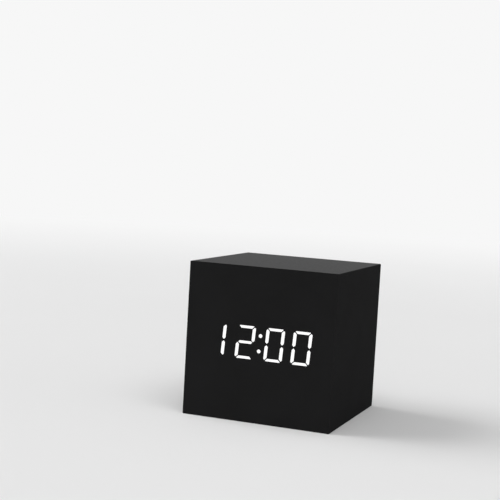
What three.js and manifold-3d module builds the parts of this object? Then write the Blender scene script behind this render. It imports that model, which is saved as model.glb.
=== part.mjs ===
// A black cube desk clock with a seven-segment LED display behind its thin front sheet.
// Millimetres, +Z up. The front faces -Y, +X is to the right seen from the front, and the origin
// is the middle of the underside.
import * as THREE from "three";
import { mergeVertices } from "three/addons/utils/BufferGeometryUtils.js";
import Module from "manifold-3d";

const wasm = await Module();
wasm.setup();

// The box: 60 wide and 60 high, which the walls and the contents add up to, and 60 deep
const SIDE_WALL = 4;
const FLOOR_WALL = 4;
const CLOCK_DEPTH = 60;
const EDGE_RADIUS = 0.3;
const VENEER_THICKNESS = 0.5;
const FRONT_WALL = 7;
const OVERRUN = 1;
const MERGE_DISTANCE = 0.0001;

// Gaps between pieces
const FIT_GAP = 0.3;
const WINDOW_CLEARANCE = 0.05;
const CONTACT_GAP = 0.1;

// The digits: centre lines, the strokes of upright and level segments, and the four places
const DIGIT_HALF_WIDTH = 3.1;
const DIGIT_HALF_HEIGHT = 5.88;
const UPRIGHT_STROKE = 1.22;
const LEVEL_STROKE = 0.98;
const SEGMENT_GAP = 0.43;
const CORNER_CUT = 0.92;
const SLANT = THREE.MathUtils.degToRad(3.7);
const HOUR_PITCH = 12;
const MIDDLE_PITCH = 11.77;
const MINUTE_PITCH = 10.86;
const ROW_CENTRE_X = -0.14;
const ROW_RISE = 0.81;
const COLON_RISE = 2.97;
const COLON_DOT_RADIUS = 0.72;

// The display module
const LENS_RECESS = 0.05;
const LENS_PLATE = 1.2;
const LENS_PRISM = 4.8;
const LENS_SIDE_LIP = 0.05;
const LENS_END_LIP = 0.7;
const HOUSING_WALL = 1.5;
const LED_LENGTH = 1.6;
const LED_WIDTH = 0.8;
const LED_HEIGHT = 0.6;
const BOARD_THICKNESS = 1.2;
const BOARD_SIDE_GAP = 0.5;
const DISPLAY_BOARD_LIP = 5;
const DISPLAY_SCREW_INSET = 3.5;
const DISPLAY_SCREW_RISE = 2.6;

// Batteries and their tray
const CELL_DIAMETER = 10.5;
const CELL_LENGTH = 44.5;
const CELL_NIPPLE_RADIUS = 1.9;
const CELL_NIPPLE_LENGTH = 0.9;
const CELL_SHOULDER = 0.5;
const CELL_SPACING = 0.4;
const CELL_COUNT = 3;
const CONTACT_SPACE = 2.05;
const TRAY_WALL = 1.2;
const TRAY_RADIUS = 1;
const TRAY_SIDE_GAP = 0.5;
const SADDLE_THICKNESS = 1.2;
const SADDLE_HEIGHT = 2.6;
const SADDLE_PLACE_SHARE = 0.25;

// Contacts, springs and leads
const CONTACT_THICKNESS = 0.4;
const CONTACT_SIZE = 8;
const DIMPLE_RADIUS = 1.75;
const DIMPLE_HEIGHT = 0.4;
const TAIL_WIDTH = 3;
const TAIL_REACH = 1.6;
const SPRING_WIRE = 0.45;
const SPRING_BASE_RADIUS = 3.2;
const SPRING_TIP_RADIUS = 2;
const SPRING_TURNS = 2.5;
const LEAD_RADIUS = 0.5;

// Rear cover and door
const COVER_RECESS = 1;
const COVER_THICKNESS = 2;
const COVER_RADIUS = 2.7;
const LEDGE_SHARE = 0.5;
const DOOR_THICKNESS = 1.6;
const DOOR_LIP = 0.6;
const DOOR_RADIUS = 1.2;
const TAB_WIDTH = 5;
const TAB_LENGTH = 0.8;
const TAB_THICKNESS = 0.8;
const TAB_LIP_GAP = 0.3;
const TAB_PLACE_SHARE = 0.6;
const LATCH_WIDTH = 12;
const LATCH_LENGTH = 7;
const LATCH_SLIT = 0.8;
const RIDGE_COUNT = 4;
const RIDGE_PITCH = 1.3;
const RIDGE_WIDTH = 0.6;
const RIDGE_HEIGHT = 0.35;
const THUMB_WIDTH = 12;
const THUMB_RISE = 2.2;
const THUMB_DEPTH = 1;
const HOOK_WIDTH = 8;
const HOOK_THICKNESS = 1.2;
const HOOK_LENGTH = 1;
const HOOK_PLACE_SHARE = 0.5;

// Control board zone above the tray
const CONTROL_BOARD_HEIGHT = 15.5;
const BOARD_TOP_GAP = 0.6;
const BOARD_TO_COVER = 5.7;
const BUTTON_PITCH = 9;
const BUTTON_RISE = 6.6;
const BUTTON_RADIUS = 3;
const BUTTON_PROUD = 0.8;
const BUTTON_EDGE = 0.4;
const FLANGE_RADIUS = 4;
const FLANGE_THICKNESS = 0.8;
const BUTTON_TRAVEL = 0.5;
const SWITCH_SIZE = 6;
const SWITCH_HEIGHT = 3.5;
const PLUNGER_RADIUS = 1.75;
const PLUNGER_DEPTH = 0.6;
const BUZZER_RADIUS = 4.5;
const BUZZER_HEIGHT = 4.5;
const BUZZER_X = 17.5;
const PORT_RISE = 5;
const BUZZER_HOLE_RADIUS = 1;
const GRILLE_HOLE_RADIUS = 0.75;
const GRILLE_RING_RADIUS = 2.4;
const GRILLE_RING_COUNT = 6;
const USB_X = -18;
const USB_WIDTH = 7.5;
const USB_HEIGHT = 2.5;
const USB_LENGTH = 6.5;
const USB_SHELL = 0.3;
const USB_CORNER = 0.9;
const USB_TONGUE_WIDTH = 5.2;
const USB_TONGUE_THICKNESS = 0.6;
const USB_TONGUE_LENGTH = 4.6;
const PORT_RECESS_WIDTH = 10.6;
const PORT_RECESS_HEIGHT = 6.4;
const PORT_RECESS_DEPTH = 1;
const CAPACITOR_RADIUS = 2.5;
const CAPACITOR_HEIGHT = 7;
const CAPACITOR_X = 13;

// Screws and what they go into
const SCREW_RADIUS = 0.9;
const SCREW_HOLE_RADIUS = 1.2;
const SCREW_HEAD_RADIUS = 1.8;
const SCREW_HEAD_HEIGHT = 1.1;
const SCREW_DOME = 0.35;
const SCREW_CROSS_LENGTH = 2.2;
const SCREW_CROSS_WIDTH = 0.45;
const SCREW_CROSS_DEPTH = 0.6;
const SHORT_SCREW = 5.2;
const LONG_SCREW = 8;
const COUNTERBORE_RADIUS = 2.2;
const COUNTERBORE_DEPTH = 1.2;
const SCREW_BLOCK_SIZE = 6;
const SCREW_BLOCK_DEPTH = 12;
const POCKET_RADIUS = 3;
const POST_RADIUS = 2.25;
const POST_INSET = 4.6;
const POST_TOP_INSET = 2.5;

// Chips, connectors and ribbon on the boards
const CHIP_LENGTH = 18;
const CHIP_WIDTH = 7.5;
const CHIP_HEIGHT = 2.3;
const CHIP_PINS = 14;
const PIN_END_INSET = 0.745;
const PIN_WIDTH = 0.42;
const PIN_REACH = 1.4;
const PIN_THICKNESS = 0.25;
const CHIP_DROP = 7;
const CRYSTAL_RADIUS = 1;
const CRYSTAL_LENGTH = 6;
const CRYSTAL_RISE = 1;
const COIN_RADIUS = 6.25;
const COIN_THICKNESS = 2;
const COIN_HOLDER_SIZE = 15;
const COIN_HOLDER_FLOOR = 0.6;
const COIN_HOLDER_RIM = 2;
const COIN_RISE = 5.8;
const PART_SPACING = 1;
const CONNECTOR_WIDTH = 12;
const CONNECTOR_HEIGHT = 5;
const CONNECTOR_DEPTH = 4;
const CONNECTOR_GROOVE = 1.2;
const DISPLAY_CONNECTOR_RISE = 10;
const CONTROL_CONNECTOR_RISE = 8;
const RIBBON_X = -9;
const RIBBON_WIDTH = 10.2;
const RIBBON_THICKNESS = 0.8;

// How finely round shapes are cut
const ARC_STEPS = 3;
const ROUND_STEPS = 8;
const TURNED_SIDES = 24;
const SCREW_SIDES = 12;
const CELL_SIDES = 24;
const LEAD_SIDES = 8;
const LEAD_STEPS = 14;
const RIBBON_STEPS = 14;
const SPRING_SIDES = 5;
const SPRING_STEPS_PER_TURN = 8;

// Sizes that follow from the ones above
const FRONT_Y = -CLOCK_DEPTH / 2;
const REAR_Y = CLOCK_DEPTH / 2;
const CASE_FRONT_Y = FRONT_Y + VENEER_THICKNESS;
const WALL_BACK_Y = CASE_FRONT_Y + FRONT_WALL;
const COVER_OUTER_Y = REAR_Y - COVER_RECESS;
const COVER_INNER_Y = COVER_OUTER_Y - COVER_THICKNESS;
const DOOR_INNER_Y = COVER_OUTER_Y - DOOR_THICKNESS;
const TRAY_INNER_LENGTH = CELL_LENGTH + 2 * CONTACT_SPACE;
const TRAY_INNER_HEIGHT = CELL_COUNT * CELL_DIAMETER + (CELL_COUNT - 1) * CELL_SPACING + 2 * FIT_GAP;
const TRAY_FLOOR_Y = DOOR_INNER_Y - CELL_DIAMETER - 2 * FIT_GAP;
const TRAY_BACK_Y = TRAY_FLOOR_Y - TRAY_WALL;
const CELL_Y = DOOR_INNER_Y - FIT_GAP - CELL_DIAMETER / 2;
const POCKET_WIDTH = TRAY_INNER_LENGTH + 2 * TRAY_WALL + 2 * TRAY_SIDE_GAP;
const TRAY_OUTER_HEIGHT = TRAY_INNER_HEIGHT + 2 * TRAY_WALL;
const POCKET_HEIGHT = FIT_GAP + TRAY_OUTER_HEIGHT + FIT_GAP + CONTROL_BOARD_HEIGHT + BOARD_TOP_GAP;
const CLOCK_WIDTH = POCKET_WIDTH + 2 * SIDE_WALL;
const CLOCK_HEIGHT = POCKET_HEIGHT + 2 * FLOOR_WALL;
const ROW_CENTRE_Z = CLOCK_HEIGHT / 2 + ROW_RISE;
const POCKET_X = POCKET_WIDTH / 2;
const POCKET_FLOOR_Z = FLOOR_WALL;
const POCKET_ROOF_Z = CLOCK_HEIGHT - FLOOR_WALL;
const REBATE_X = POCKET_X + SIDE_WALL * LEDGE_SHARE;
const REBATE_FLOOR_Z = FLOOR_WALL * LEDGE_SHARE;
const REBATE_ROOF_Z = CLOCK_HEIGHT - REBATE_FLOOR_Z;
const TRAY_X = TRAY_INNER_LENGTH / 2;
const TRAY_LOW_Z = POCKET_FLOOR_Z + FIT_GAP + TRAY_WALL;
const TRAY_HIGH_Z = TRAY_LOW_Z + TRAY_INNER_HEIGHT;
const DOOR_X = TRAY_X + DOOR_LIP;
const DOOR_LOW_Z = TRAY_LOW_Z - DOOR_LIP;
const DOOR_HIGH_Z = TRAY_HIGH_Z + DOOR_LIP;
const CONTROL_BOARD_LOW_Z = TRAY_HIGH_Z + TRAY_WALL + FIT_GAP;
const CONTROL_BOARD_HIGH_Z = CONTROL_BOARD_LOW_Z + CONTROL_BOARD_HEIGHT;
const CONTROL_REAR_Y = COVER_INNER_Y - BOARD_TO_COVER;
const CONTROL_FRONT_Y = CONTROL_REAR_Y - BOARD_THICKNESS;
const BUTTON_Z = CONTROL_BOARD_LOW_Z + BUTTON_RISE;
const PORT_Z = CONTROL_BOARD_LOW_Z + PORT_RISE;
const POST_X = POCKET_X - SCREW_BLOCK_SIZE - POST_INSET;
const POST_Z = CONTROL_BOARD_HIGH_Z - POST_TOP_INSET;
const COVER_SCREW_X = POCKET_X - SCREW_BLOCK_SIZE / 2;
const COVER_SCREW_Z = POCKET_ROOF_Z - SCREW_BLOCK_SIZE / 2;
const BOARD_X = POCKET_X - BOARD_SIDE_GAP;
const DIGIT_TOP = DIGIT_HALF_HEIGHT + LEVEL_STROKE / 2;
const DIGIT_LEAN = DIGIT_TOP * Math.tan(SLANT);
const LENS_HALF_WIDTH = DIGIT_HALF_WIDTH + UPRIGHT_STROKE / 2 + DIGIT_LEAN + LENS_SIDE_LIP;
const LENS_HALF_HEIGHT = DIGIT_TOP + LENS_END_LIP;
const ROW_LENGTH = HOUR_PITCH + MIDDLE_PITCH + MINUTE_PITCH;
const FIRST_DIGIT_X = ROW_CENTRE_X - ROW_LENGTH / 2;
const LENS_POCKET_X = ROW_LENGTH / 2 + LENS_HALF_WIDTH + FIT_GAP;
const LENS_POCKET_RISE = LENS_HALF_HEIGHT + FIT_GAP;
const HOUSING_X = LENS_POCKET_X + HOUSING_WALL;
const HOUSING_RISE = LENS_POCKET_RISE + HOUSING_WALL;
const PRISM_BASE_Y = CASE_FRONT_Y + LENS_PRISM;
const LENS_BACK_Y = PRISM_BASE_Y + LENS_PLATE;
const DISPLAY_BOARD_RISE = HOUSING_RISE + DISPLAY_BOARD_LIP;
const DISPLAY_BOARD_BACK_Y = WALL_BACK_Y + BOARD_THICKNESS;
const DISPLAY_SCREW_X = BOARD_X - DISPLAY_SCREW_INSET;
const DISPLAY_SCREW_OFFSET = HOUSING_RISE + DISPLAY_SCREW_RISE;
const PARTS_REACH = DISPLAY_SCREW_X - SCREW_HEAD_RADIUS - PART_SPACING;
const CHIP_X = CHIP_LENGTH / 2 - PARTS_REACH;
const COIN_X = PARTS_REACH - COIN_HOLDER_SIZE / 2;
const COLON_X = FIRST_DIGIT_X + HOUR_PITCH + MIDDLE_PITCH / 2;
const CONTACT_X = TRAY_X - CONTACT_THICKNESS;
const PIVOT_Y = COVER_OUTER_Y - DOOR_THICKNESS / 2;
const PIVOT_Z = DOOR_LOW_Z + DOOR_THICKNESS / 2;
const SWITCH_TOP_Y = CONTROL_REAR_Y + SWITCH_HEIGHT;
const FLANGE_TOP_Y = COVER_INNER_Y - FIT_GAP;
const FLANGE_BACK_Y = FLANGE_TOP_Y - FLANGE_THICKNESS;

// The four digits, each with its centre and the segments that are lit for 12:00
const DIGITS = [
  { name: "hour_tens", x: FIRST_DIGIT_X, lit: "bc" },
  { name: "hour_units", x: FIRST_DIGIT_X + HOUR_PITCH, lit: "abged" },
  { name: "minute_tens", x: FIRST_DIGIT_X + HOUR_PITCH + MIDDLE_PITCH, lit: "abcdef" },
  { name: "minute_units", x: FIRST_DIGIT_X + ROW_LENGTH, lit: "abcdef" },
];
const SEGMENTS = ["a", "b", "c", "d", "e", "f", "g"];

const BLACK_FILM = { color: 0x1e1e1f, roughness: 0.55, metalness: 0 };
const BLACK_PLASTIC = { color: 0x161617, roughness: 0.6, metalness: 0 };
const LENS_WHITE = { color: 0xffffff, roughness: 0.4, metalness: 0, emissive: 0xffffff };
const BOARD_GREEN = { color: 0x14532d, roughness: 0.5, metalness: 0 };
const STEEL = { color: 0xb9bcc0, roughness: 0.35, metalness: 1 };
const WOOD = { color: 0xa98a60, roughness: 0.85, metalness: 0 };
const CELL_SLEEVE = { color: 0x3f6d9c, roughness: 0.4, metalness: 0 };
const RED = { color: 0xb3261e, roughness: 0.5, metalness: 0 };
const BLACK = { color: 0x1a1a1a, roughness: 0.5, metalness: 0 };
const GREY = { color: 0x9a9c9e, roughness: 0.5, metalness: 0 };

// Joins and cuts

function toSolid(geometry) {
  const bare = geometry.clone();
  bare.deleteAttribute("normal");
  bare.deleteAttribute("uv");
  const merged = mergeVertices(bare, MERGE_DISTANCE);
  const vertProperties = new Float32Array(merged.attributes.position.array);
  const triVerts = new Uint32Array(merged.index.array);
  return new wasm.Manifold(new wasm.Mesh({ numProp: 3, vertProperties, triVerts }));
}

function toGeometry(solid) {
  const { vertProperties, triVerts } = solid.getMesh();
  const geometry = new THREE.BufferGeometry();
  geometry.setAttribute("position", new THREE.BufferAttribute(vertProperties, 3));
  geometry.setIndex(new THREE.BufferAttribute(triVerts, 1));
  const faceted = geometry.toNonIndexed();
  faceted.computeVertexNormals();
  return faceted;
}

function join(...solids) {
  return solids.reduce((whole, piece) => whole.add(piece));
}

function cut(base, ...tools) {
  return tools.reduce((left, tool) => left.subtract(tool), base);
}

// Basic shapes

// A rectangle in x and z with round corners; a radius of zero leaves them square.
function rectangle(lowX, highX, lowZ, highZ, radius = 0) {
  const shape = new THREE.Shape();
  if (radius === 0) {
    shape.moveTo(lowX, lowZ);
    shape.lineTo(highX, lowZ);
    shape.lineTo(highX, highZ);
    shape.lineTo(lowX, highZ);
    return shape;
  }
  const quarter = Math.PI / 2;
  shape.absarc(highX - radius, lowZ + radius, radius, -quarter, 0);
  shape.absarc(highX - radius, highZ - radius, radius, 0, quarter);
  shape.absarc(lowX + radius, highZ - radius, radius, quarter, Math.PI);
  shape.absarc(lowX + radius, lowZ + radius, radius, Math.PI, Math.PI + quarter);
  return shape;
}

function disc(x, z, radius) {
  return new THREE.Shape().absarc(x, z, radius, 0, 2 * Math.PI);
}

function outline(points) {
  return new THREE.Shape(points.map(([x, z]) => new THREE.Vector2(x, z)));
}

// An outline in x and z, solid from frontY to backY.
function slab(shape, frontY, backY, curveSegments = ARC_STEPS) {
  const geometry = new THREE.ExtrudeGeometry(shape, { depth: 1, bevelEnabled: false, curveSegments });
  const depth = backY - frontY;
  const upright = new THREE.Matrix4().set(1, 0, 0, 0, 0, 0, -depth, backY, 0, 1, 0, 0, 0, 0, 0, 1);
  return toSolid(geometry.applyMatrix4(upright));
}

function block(lowX, highX, lowY, highY, lowZ, highZ) {
  return slab(rectangle(lowX, highX, lowZ, highZ), lowY, highY);
}

// A round bar along Y.
function bar(x, z, radius, frontY, backY) {
  return slab(disc(x, z, radius), frontY, backY, ROUND_STEPS);
}

// A turned piece along Y: its profile is pairs of radius and y, from front to back.
function turned(profile, sides) {
  return new THREE.LatheGeometry(profile.map(([radius, y]) => new THREE.Vector2(radius, y)), sides);
}

// The outline of one segment about its digit's centre, grown on every side by a clearance.
function segmentOutline(segment, digitX, grow) {
  const upright = UPRIGHT_STROKE / 2 + grow;
  const level = LEVEL_STROKE / 2 + grow;
  const mitre = SEGMENT_GAP / Math.SQRT2 - grow * Math.SQRT2;
  const corner = CORNER_CUT + grow * (2 - Math.SQRT2);
  const near = (corner - mitre) / 2;
  const far = (corner + mitre) / 2;
  const wide = DIGIT_HALF_WIDTH;
  const high = DIGIT_HALF_HEIGHT;
  const top = [
    [-(wide - upright - mitre), high - level],
    [wide - upright - mitre, high - level],
    [wide + level - far, high + upright - near],
    [wide + upright - corner, high + level],
    [-(wide + upright - corner), high + level],
    [-(wide + level - far), high + upright - near],
  ];
  const side = [
    [wide, mitre],
    [wide + upright, mitre + upright],
    [wide + upright, high + level - corner],
    [wide + level - near, high + upright - far],
    [wide - upright, high - level - mitre],
    [wide - upright, mitre + upright],
  ];
  const tip = wide - mitre;
  const middle = [
    [-tip, 0],
    [-tip + level, -level],
    [tip - level, -level],
    [tip, 0],
    [tip - level, level],
    [-tip + level, level],
  ];
  const flipX = (points) => points.map(([x, z]) => [-x, z]).reverse();
  const flipZ = (points) => points.map(([x, z]) => [x, -z]).reverse();
  const shapes = {
    a: top,
    b: side,
    c: flipZ(side),
    d: flipZ(top),
    e: flipX(flipZ(side)),
    f: flipX(side),
    g: middle,
  };
  const lean = Math.tan(SLANT);
  return outline(shapes[segment].map(([x, z]) => [digitX + x + z * lean, ROW_CENTRE_Z + z]));
}

function colonDots(grow) {
  const lean = Math.tan(SLANT) * COLON_RISE;
  return [-1, 1].map((side) => {
    const z = ROW_CENTRE_Z + side * COLON_RISE;
    return disc(COLON_X + side * lean, z, COLON_DOT_RADIUS + grow);
  });
}

// Front sheet and box

function frontVeneer() {
  const half = CLOCK_WIDTH / 2;
  const sheet = rectangle(-half, half, 0, CLOCK_HEIGHT, EDGE_RADIUS);
  for (const digit of DIGITS) {
    for (const segment of digit.lit) sheet.holes.push(segmentOutline(segment, digit.x, WINDOW_CLEARANCE));
  }
  sheet.holes.push(...colonDots(WINDOW_CLEARANCE));
  return slab(sheet, FRONT_Y, CASE_FRONT_Y, ROUND_STEPS);
}

function woodCase() {
  const half = CLOCK_WIDTH / 2;
  const body = slab(rectangle(-half, half, 0, CLOCK_HEIGHT, EDGE_RADIUS), CASE_FRONT_Y, REAR_Y);
  const pocket = rectangle(-POCKET_X, POCKET_X, POCKET_FLOOR_Z, POCKET_ROOF_Z, POCKET_RADIUS);
  const rebate = rectangle(-REBATE_X, REBATE_X, REBATE_FLOOR_Z, REBATE_ROOF_Z, POCKET_RADIUS);
  const windowX = HOUSING_X + FIT_GAP;
  const windowRise = HOUSING_RISE + FIT_GAP;
  const window = block(
    ROW_CENTRE_X - windowX,
    ROW_CENTRE_X + windowX,
    CASE_FRONT_Y - OVERRUN,
    WALL_BACK_Y + OVERRUN,
    ROW_CENTRE_Z - windowRise,
    ROW_CENTRE_Z + windowRise,
  );
  const pilotEnd = WALL_BACK_Y - SHORT_SCREW + BOARD_THICKNESS - FIT_GAP;
  const pilots = displayScrewPlaces().map(([x, z]) =>
    bar(x, z, SCREW_HOLE_RADIUS, pilotEnd, WALL_BACK_Y + OVERRUN),
  );
  const slots = hookPlaces().map((x) => {
    const reach = HOOK_WIDTH / 2 + FIT_GAP;
    const low = REBATE_FLOOR_Z - HOOK_LENGTH;
    const front = hookFrontY() - FIT_GAP;
    return block(x - reach, x + reach, front, hookBackY() + FIT_GAP, low, REBATE_FLOOR_Z + OVERRUN);
  });
  return cut(
    body,
    slab(pocket, WALL_BACK_Y, REAR_Y + OVERRUN),
    slab(rebate, COVER_INNER_Y, REAR_Y + OVERRUN),
    window,
    ...pilots,
    ...slots,
  );
}

// A wooden block glued in an upper corner, which a cover screw bites into.
function screwBlock(side) {
  const inner = side * (POCKET_X - SCREW_BLOCK_SIZE);
  const outer = side * POCKET_X;
  const low = POCKET_ROOF_Z - SCREW_BLOCK_SIZE;
  const corner = POCKET_RADIUS + FIT_GAP;
  const shape = outline([
    [inner, low],
    [outer, low],
    [outer, POCKET_ROOF_Z - corner],
    [outer - side * corner, POCKET_ROOF_Z],
    [inner, POCKET_ROOF_Z],
  ]);
  const frontY = COVER_INNER_Y - SCREW_BLOCK_DEPTH;
  const x = side * COVER_SCREW_X;
  const hole = bar(x, COVER_SCREW_Z, SCREW_HOLE_RADIUS, frontY - OVERRUN, COVER_INNER_Y + OVERRUN);
  return cut(slab(shape, frontY, COVER_INNER_Y), hole);
}

// Display module

// The reflector: a well behind each segment and dot, and one shallow recess for the lens plates.
function displayHousing() {
  const body = block(
    ROW_CENTRE_X - HOUSING_X,
    ROW_CENTRE_X + HOUSING_X,
    CASE_FRONT_Y,
    WALL_BACK_Y,
    ROW_CENTRE_Z - HOUSING_RISE,
    ROW_CENTRE_Z + HOUSING_RISE,
  );
  const recess = block(
    ROW_CENTRE_X - LENS_POCKET_X,
    ROW_CENTRE_X + LENS_POCKET_X,
    PRISM_BASE_Y - CONTACT_GAP,
    WALL_BACK_Y + OVERRUN,
    ROW_CENTRE_Z - LENS_POCKET_RISE,
    ROW_CENTRE_Z + LENS_POCKET_RISE,
  );
  const wellShapes = [...colonDots(WINDOW_CLEARANCE)];
  for (const digit of DIGITS) {
    for (const segment of SEGMENTS) wellShapes.push(segmentOutline(segment, digit.x, WINDOW_CLEARANCE));
  }
  const wells = wellShapes.map((shape) =>
    slab(shape, CASE_FRONT_Y - OVERRUN, PRISM_BASE_Y + OVERRUN / 2, ROUND_STEPS),
  );
  return cut(body, recess, ...wells);
}

// A digit's lens: seven light guides on one plate. Only the lit ones reach into the sheet's windows.
function digitLens(digit) {
  const plate = block(
    digit.x - LENS_HALF_WIDTH,
    digit.x + LENS_HALF_WIDTH,
    PRISM_BASE_Y,
    LENS_BACK_Y,
    ROW_CENTRE_Z - LENS_HALF_HEIGHT,
    ROW_CENTRE_Z + LENS_HALF_HEIGHT,
  );
  const guides = SEGMENTS.map((segment) => {
    const face = digit.lit.includes(segment) ? FRONT_Y : CASE_FRONT_Y;
    return slab(segmentOutline(segment, digit.x, 0), face + LENS_RECESS, PRISM_BASE_Y + LENS_PLATE / 2);
  });
  return join(plate, ...guides);
}

function colonLens() {
  const left = DIGITS[1].x + LENS_HALF_WIDTH + FIT_GAP;
  const right = DIGITS[2].x - LENS_HALF_WIDTH - FIT_GAP;
  const low = ROW_CENTRE_Z - LENS_HALF_HEIGHT;
  const high = ROW_CENTRE_Z + LENS_HALF_HEIGHT;
  const plate = block(left, right, PRISM_BASE_Y, LENS_BACK_Y, low, high);
  const guides = colonDots(0).map((dot) =>
    slab(dot, FRONT_Y + LENS_RECESS, PRISM_BASE_Y + LENS_PLATE / 2, ROUND_STEPS),
  );
  return join(plate, ...guides);
}

// Where each segment's LED sits, as the middle of the segment about the digit's centre.
function ledPlaces() {
  const upper = DIGIT_HALF_HEIGHT / 2;
  const middles = {
    a: [0, DIGIT_HALF_HEIGHT],
    b: [DIGIT_HALF_WIDTH, upper],
    c: [DIGIT_HALF_WIDTH, -upper],
    d: [0, -DIGIT_HALF_HEIGHT],
    e: [-DIGIT_HALF_WIDTH, -upper],
    f: [-DIGIT_HALF_WIDTH, upper],
    g: [0, 0],
  };
  const places = [-1, 1].map((side) => {
    return { x: COLON_X, z: ROW_CENTRE_Z + side * COLON_RISE, upright: true };
  });
  for (const digit of DIGITS) {
    for (const segment of SEGMENTS) {
      const [x, z] = middles[segment];
      places.push({ x: digit.x + x, z: ROW_CENTRE_Z + z, upright: "bcef".includes(segment) });
    }
  }
  return places;
}

function displayBoard() {
  const low = ROW_CENTRE_Z - DISPLAY_BOARD_RISE;
  const high = ROW_CENTRE_Z + DISPLAY_BOARD_RISE;
  const board = block(-BOARD_X, BOARD_X, WALL_BACK_Y, DISPLAY_BOARD_BACK_Y, low, high);
  const leds = ledPlaces().map(({ x, z, upright }) => {
    const reachX = (upright ? LED_WIDTH : LED_LENGTH) / 2;
    const reachZ = (upright ? LED_LENGTH : LED_WIDTH) / 2;
    const middleY = WALL_BACK_Y + BOARD_THICKNESS / 2;
    return block(x - reachX, x + reachX, WALL_BACK_Y - LED_HEIGHT, middleY, z - reachZ, z + reachZ);
  });
  const holes = displayScrewPlaces().map(([x, z]) =>
    bar(x, z, SCREW_HOLE_RADIUS, WALL_BACK_Y - OVERRUN, DISPLAY_BOARD_BACK_Y + OVERRUN),
  );
  return cut(join(board, ...leds), ...holes);
}

function displayScrewPlaces() {
  const low = ROW_CENTRE_Z - DISPLAY_SCREW_OFFSET;
  const high = ROW_CENTRE_Z + DISPLAY_SCREW_OFFSET;
  return [low, high].flatMap((z) => [[-DISPLAY_SCREW_X, z], [DISPLAY_SCREW_X, z]]);
}

function driverChip() {
  const z = ROW_CENTRE_Z - CHIP_DROP;
  const left = CHIP_X - CHIP_LENGTH / 2;
  const back = DISPLAY_BOARD_BACK_Y + CHIP_HEIGHT;
  const lift = PIN_THICKNESS / 2;
  const body = block(
    left,
    left + CHIP_LENGTH,
    DISPLAY_BOARD_BACK_Y + lift,
    back,
    z - CHIP_WIDTH / 2,
    z + CHIP_WIDTH / 2,
  );
  const pitch = (CHIP_LENGTH - 2 * PIN_END_INSET) / (CHIP_PINS - 1);
  const reach = CHIP_WIDTH / 2 + PIN_REACH;
  const foot = DISPLAY_BOARD_BACK_Y + PIN_THICKNESS;
  const pins = Array.from({ length: CHIP_PINS }, (_, i) => {
    const low = left + PIN_END_INSET + i * pitch - PIN_WIDTH / 2;
    return block(low, low + PIN_WIDTH, DISPLAY_BOARD_BACK_Y, foot, z - reach, z + reach);
  });
  return join(body, ...pins);
}

function clockCrystal() {
  const z = ROW_CENTRE_Z + CRYSTAL_RISE;
  const can = new THREE.CylinderGeometry(CRYSTAL_RADIUS, CRYSTAL_RADIUS, CRYSTAL_LENGTH, SCREW_SIDES);
  can.rotateZ(Math.PI / 2);
  can.translate(CHIP_X, DISPLAY_BOARD_BACK_Y + CRYSTAL_RADIUS, z);
  return toSolid(can);
}

function coinCellHolder() {
  const z = ROW_CENTRE_Z + COIN_RISE;
  const half = COIN_HOLDER_SIZE / 2;
  const back = DISPLAY_BOARD_BACK_Y + COIN_HOLDER_FLOOR + COIN_HOLDER_RIM;
  const tray = block(COIN_X - half, COIN_X + half, DISPLAY_BOARD_BACK_Y, back, z - half, z + half);
  const floor = DISPLAY_BOARD_BACK_Y + COIN_HOLDER_FLOOR;
  const well = bar(COIN_X, z, COIN_RADIUS + FIT_GAP, floor, back + OVERRUN);
  const finger = COIN_RADIUS / 2;
  const notch = block(COIN_X - finger, COIN_X + finger, floor, back + OVERRUN, z, z + half + OVERRUN);
  return cut(tray, well, notch);
}

function coinCell() {
  const z = ROW_CENTRE_Z + COIN_RISE;
  const front = DISPLAY_BOARD_BACK_Y + COIN_HOLDER_FLOOR;
  return bar(COIN_X, z, COIN_RADIUS, front, front + COIN_THICKNESS);
}

// A board connector; facing is +1 when it opens to the rear and -1 when it opens to the front.
function connector(boardY, z, facing) {
  const half = CONNECTOR_WIDTH / 2;
  const mouth = boardY + facing * CONNECTOR_DEPTH;
  const rise = CONNECTOR_HEIGHT / 2;
  const body = block(
    RIBBON_X - half,
    RIBBON_X + half,
    Math.min(boardY, mouth),
    Math.max(boardY, mouth),
    z - rise,
    z + rise,
  );
  const inner = mouth - facing * CONNECTOR_GROOVE;
  const over = mouth + facing * OVERRUN;
  const grooveHalf = RIBBON_WIDTH / 2 + FIT_GAP;
  const grooveRise = RIBBON_THICKNESS / 2 + FIT_GAP;
  const groove = block(
    RIBBON_X - grooveHalf,
    RIBBON_X + grooveHalf,
    Math.min(inner, over),
    Math.max(inner, over),
    z - grooveRise,
    z + grooveRise,
  );
  return cut(body, groove);
}

function displayConnectorZ() {
  return ROW_CENTRE_Z + DISPLAY_CONNECTOR_RISE;
}

function controlConnectorZ() {
  return CONTROL_BOARD_LOW_Z + CONTROL_CONNECTOR_RISE;
}

// The flat ribbon between the two connectors, leaving each one straight.
function ribbonCable() {
  const startY = DISPLAY_BOARD_BACK_Y + CONNECTOR_DEPTH - CONNECTOR_GROOVE + FIT_GAP;
  const endY = CONTROL_FRONT_Y - CONNECTOR_DEPTH + CONNECTOR_GROOVE - FIT_GAP;
  const third = (endY - startY) / 3;
  const route = new THREE.CubicBezierCurve3(
    new THREE.Vector3(RIBBON_X, startY, displayConnectorZ()),
    new THREE.Vector3(RIBBON_X, startY + third, displayConnectorZ()),
    new THREE.Vector3(RIBBON_X, endY - third, controlConnectorZ()),
    new THREE.Vector3(RIBBON_X, endY, controlConnectorZ()),
  );
  const half = RIBBON_WIDTH / 2;
  const thin = RIBBON_THICKNESS / 2;
  const section = rectangle(-half, half, -thin, thin);
  return toSolid(new THREE.ExtrudeGeometry(section, { steps: RIBBON_STEPS, extrudePath: route }));
}

// Rear cover, battery tray and door

function hookPlaces() {
  return [-1, 1].map((side) => side * REBATE_X * HOOK_PLACE_SHARE);
}

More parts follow.
